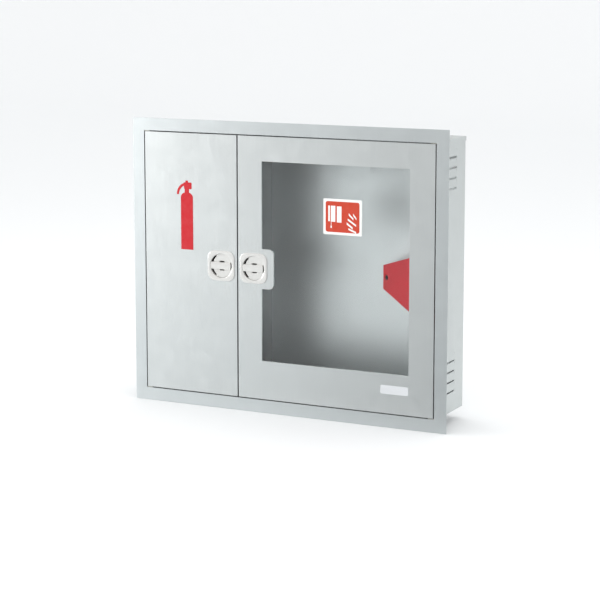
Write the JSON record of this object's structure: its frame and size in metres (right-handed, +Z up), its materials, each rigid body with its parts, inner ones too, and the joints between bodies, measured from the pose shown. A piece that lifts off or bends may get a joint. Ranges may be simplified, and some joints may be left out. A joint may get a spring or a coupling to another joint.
{
  "type": "recessed fire extinguisher and hose reel cabinet",
  "caption": "Recessed two-compartment fire cabinet in folded stainless sheet, with a solid narrow door, a wide glazed door, quarter-turn latches and a hose reel swing arm.",
  "frame": {"origin": "centre of the back panel's outer face, which is the centre of its four wall fixing holes", "axes": "+X to the right seen from the front, -Y out of the front towards the user, +Z up"},
  "size_m": [0.966, 0.2025, 0.816],
  "materials": {
    "box_sheet": "satin brushed stainless sheet",
    "frame_sheet": "satin brushed stainless sheet",
    "door_sheet": "satin brushed stainless sheet",
    "glass": "clear float glass",
    "gasket_rubber": "matt",
    "hinge_steel": "machined",
    "fastener_steel": "bright zinc plated",
    "bush_plastic": "moulded",
    "latch_metal": "bright plated casting",
    "sign_red": "printed film",
    "sign_white": "printed film",
    "badge_film": "printed film",
    "arm_paint": "semi-gloss powder coat"
  },
  "bodies": {
    "cabinet": {"back_panel": "box_sheet", "left_wall": "box_sheet", "right_wall": "box_sheet", "top_panel": "box_sheet", "bottom_panel": "box_sheet", "partition": "box_sheet", "mullion": "frame_sheet", "front_flange": "frame_sheet", "frame_collar": "frame_sheet", "door_seals": "gasket_rubber", "left_hinge_lugs": "hinge_steel", "left_hinge_pins": "hinge_steel", "right_hinge_lugs": "hinge_steel", "right_hinge_pins": "hinge_steel", "arm_bracket": "arm_paint", "arm_pin": "fastener_steel", "arm_pin_clip": "fastener_steel", "pipe_grommet": "gasket_rubber"},
    "left_door": {"left_door_pan": "door_sheet", "left_door_stiffener": "box_sheet", "left_hinge_bushes": "bush_plastic", "extinguisher_sign": "sign_red", "left_latch_bezel": "latch_metal", "left_latch_ring": "fastener_steel"},
    "left_latch": {"left_latch_rotor": "latch_metal", "left_latch_cam": "fastener_steel", "left_latch_nut": "fastener_steel"},
    "right_door": {"right_door_pan": "door_sheet", "right_door_stiffener": "box_sheet", "right_hinge_bushes": "bush_plastic", "glass_pane": "glass", "glass_gasket": "gasket_rubber", "glazing_bars": "box_sheet", "glazing_studs": "fastener_steel", "glazing_spacers": "fastener_steel", "glazing_nuts": "fastener_steel", "reel_sign_back": "sign_white", "reel_sign_print": "sign_red", "blank_badge": "badge_film", "right_latch_bezel": "latch_metal", "right_latch_ring": "fastener_steel"},
    "right_latch": {"right_latch_rotor": "latch_metal", "right_latch_cam": "fastener_steel", "right_latch_nut": "fastener_steel"},
    "swing_arm": {"reel_arm": "arm_paint", "axle_boss": "arm_paint"}
  },
  "joints": [
    {"name": "left_door_swing", "type": "hinge", "parent": "cabinet", "child": "left_door", "pos_m": [-0.438, -0.194, 0], "axis": [0, 0, -1], "range_deg": [0, 105]},
    {"name": "right_door_swing", "type": "hinge", "parent": "cabinet", "child": "right_door", "pos_m": [0.438, -0.194, 0], "axis": [0, 0, 1], "range_deg": [0, 105]},
    {"name": "left_latch_turn", "type": "hinge", "parent": "left_door", "child": "left_latch", "pos_m": [-0.2, -0.19, 0], "axis": [0, -1, 0], "range_deg": [0, 90]},
    {"name": "right_latch_turn", "type": "hinge", "parent": "right_door", "child": "right_latch", "pos_m": [-0.098, -0.19, 0], "axis": [0, 1, 0], "range_deg": [0, 90]},
    {"name": "swing_arm_turn", "type": "hinge", "parent": "cabinet", "child": "swing_arm", "pos_m": [0.435, -0.16, -0.034], "axis": [0, 0, 1], "range_deg": [-4, 30]}
  ]
}
